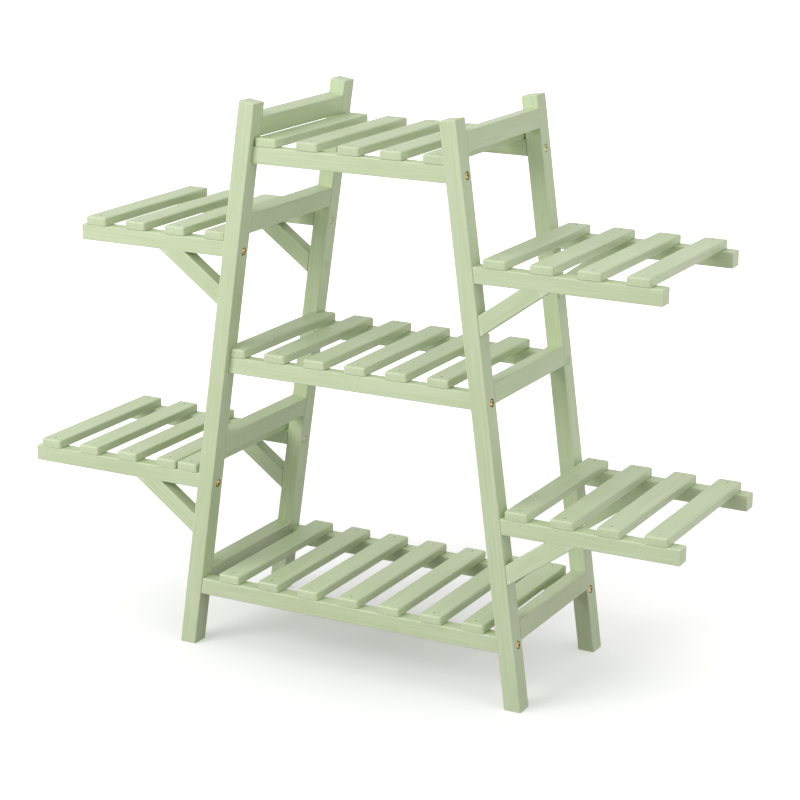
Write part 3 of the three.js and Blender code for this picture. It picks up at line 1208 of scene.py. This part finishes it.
def make_lights():
    """A large softbox at the left front and a weak one at the right."""
    stage = bpy.context.scene.stand_stage
    make_softbox("front_softbox", stage.front_light, FRONT_SOFTBOX)
    make_softbox("right_softbox", stage.right_light, RIGHT_SOFTBOX)


def make_camera():
    """The camera where the photograph was taken from."""
    stage = bpy.context.scene.stand_stage
    lens = bpy.data.cameras.new("photograph")
    lens.sensor_width = 36
    lens.lens = stage.lens
    lens.clip_end = 200
    camera = bpy.data.objects.new("photograph", lens)
    eye, aim = Vector(stage.eye), Vector(stage.aim)
    look = (aim - eye).to_track_quat("-Z", "Y").to_matrix().to_4x4()
    camera.matrix_world = Matrix.Translation(eye) @ look @ Matrix.Rotation(stage.roll, 4, "Z")
    bpy.context.collection.objects.link(camera)
    bpy.context.scene.camera = camera


# ---------------------------------------------------------------- operators


class StandOperator:
    """What all steps of the build share."""

    bl_options = {"REGISTER", "UNDO"}


class STAND_OT_legs(StandOperator, bpy.types.Operator):
    """Make the four leaning legs with their bolt seats and mortises"""

    bl_idname = "stand.legs"
    bl_label = "Legs"

    def execute(self, context):
        for side in SIDES:
            for end in ENDS:
                make_leg(side, end)
        return {"FINISHED"}


class STAND_OT_rungs(StandOperator, bpy.types.Operator):
    """Make the tenoned rungs of both ladder sides"""

    bl_idname = "stand.rungs"
    bl_label = "Rungs"

    def execute(self, context):
        for node in nodes_of("rung"):
            make_rung(node)
        return {"FINISHED"}


class STAND_OT_rails(StandOperator, bpy.types.Operator):
    """Make the scribed rails of the centre shelves"""

    bl_idname = "stand.rails"
    bl_label = "Shelf rails"

    def execute(self, context):
        for node in nodes_of("rail"):
            make_rail(node)
        return {"FINISHED"}


class STAND_OT_arms(StandOperator, bpy.types.Operator):
    """Make the arms of the side shelves"""

    bl_idname = "stand.arms"
    bl_label = "Arms"

    def execute(self, context):
        for node in nodes_of("arm"):
            make_arm(node)
        return {"FINISHED"}


class STAND_OT_braces(StandOperator, bpy.types.Operator):
    """Make the braces under the arms"""

    bl_idname = "stand.braces"
    bl_label = "Braces"

    def execute(self, context):
        for node in nodes_of("arm"):
            make_brace(node)
        return {"FINISHED"}


class STAND_OT_slats(StandOperator, bpy.types.Operator):
    """Make the slats of all seven shelves"""

    bl_idname = "stand.slats"
    bl_label = "Slats"

    def execute(self, context):
        for node in nodes_of("slat"):
            make_slat(node)
        return {"FINISHED"}


class STAND_OT_bolts(StandOperator, bpy.types.Operator):
    """Put a brass bolt in each large seat of the legs and a painted screw in each small one"""

    bl_idname = "stand.bolts"
    bl_label = "Bolts and screws"

    def execute(self, context):
        hardware = context.scene.stand_hardware
        bolt, screw = hardware.bolt_head / 2, hardware.screw_head / 2
        for side_name, side in SIDES.items():
            bolts, screws = bolt_places(side)
            for end_name, end in ENDS.items():
                y = bolt_line(end)
                leg = f"{end_name}_{side_name}"
                for number, (height, sunk) in enumerate(bolts, 1):
                    way = bolt_way(side, sunk)
                    place = axes(way, Y, on_leg(side, height, y, sunk) - way * BOLT_SUNK)
                    turn = random.Random(f"{leg}{number}").uniform(0, math.pi / 2)
                    piece = make_bolt(
                        f"bolt_{leg}_{number}", domed_head(bolt), BOLT_SHANK, place,
                        bolt_brass(), turn,
                    )
                    paint_over(piece)
                for number, (height, sunk) in enumerate(screws, 1):
                    way = bolt_way(side, sunk)
                    place = axes(way, Y, on_leg(side, height, y, sunk) - way * SCREW_SUNK)
                    turn = random.Random(f"{leg}s{number}").uniform(0, math.pi / 2)
                    make_bolt(
                        f"brace_screw_{leg}_{number}", flat_head(screw), SCREW_SHANK, place,
                        sage_paint(), turn,
                    )
        return {"FINISHED"}


class STAND_OT_nails(StandOperator, bpy.types.Operator):
    """Put the painted nails in the ends of the slats"""

    bl_idname = "stand.nails"
    bl_label = "Slat nails"

    def execute(self, context):
        for shelf in CENTRE_SHELVES + SIDE_SHELVES:
            make_nails(shelf)
        return {"FINISHED"}


class STAND_OT_stage(StandOperator, bpy.types.Operator):
    """Set the floor, the soft light and the camera of the photograph"""

    bl_idname = "stand.stage"
    bl_label = "Stage"

    def execute(self, context):
        make_floor()
        make_world()
        make_lights()
        make_camera()
        context.scene.view_settings.view_transform = "Standard"
        return {"FINISHED"}


OPERATORS = (
    STAND_OT_legs,
    STAND_OT_rungs,
    STAND_OT_rails,
    STAND_OT_arms,
    STAND_OT_braces,
    STAND_OT_slats,
    STAND_OT_bolts,
    STAND_OT_nails,
    STAND_OT_stage,
)


class STAND_PT_panel(bpy.types.Panel):
    """Lists the steps that build the stand"""

    bl_idname = "STAND_PT_panel"
    bl_label = "Plant ladder stand"
    bl_space_type = "VIEW_3D"
    bl_region_type = "UI"
    bl_category = "Plant Stand"

    def draw(self, context):
        column = self.layout.column(align=True)
        for operator in OPERATORS:
            column.operator(operator.bl_idname)
        for name in SETTINGS:
            box = self.layout.box()
            settings = getattr(context.scene, name)
            for key in settings.bl_rna.properties.keys():
                if key not in ("rna_type", "name"):
                    box.prop(settings, key)


SETTINGS = {
    "stand_timber": StandTimber,
    "stand_hardware": StandHardware,
    "stand_finish": StandFinish,
    "stand_stage": StandStage,
}
CLASSES = (*SETTINGS.values(), *OPERATORS, STAND_PT_panel)


def register():
    for item in CLASSES:
        bpy.utils.register_class(item)
    for name, group in SETTINGS.items():
        setattr(bpy.types.Scene, name, bpy.props.PointerProperty(type=group))


def unregister():
    for name in SETTINGS:
        delattr(bpy.types.Scene, name)
    for item in reversed(CLASSES):
        bpy.utils.unregister_class(item)


def main():
    register()
    bpy.ops.stand.legs()
    bpy.ops.stand.rungs()
    bpy.ops.stand.rails()
    bpy.ops.stand.arms()
    bpy.ops.stand.braces()
    bpy.ops.stand.slats()
    bpy.ops.stand.bolts()
    bpy.ops.stand.nails()
    bpy.ops.stand.stage()


if __name__ == "__main__":
    main()
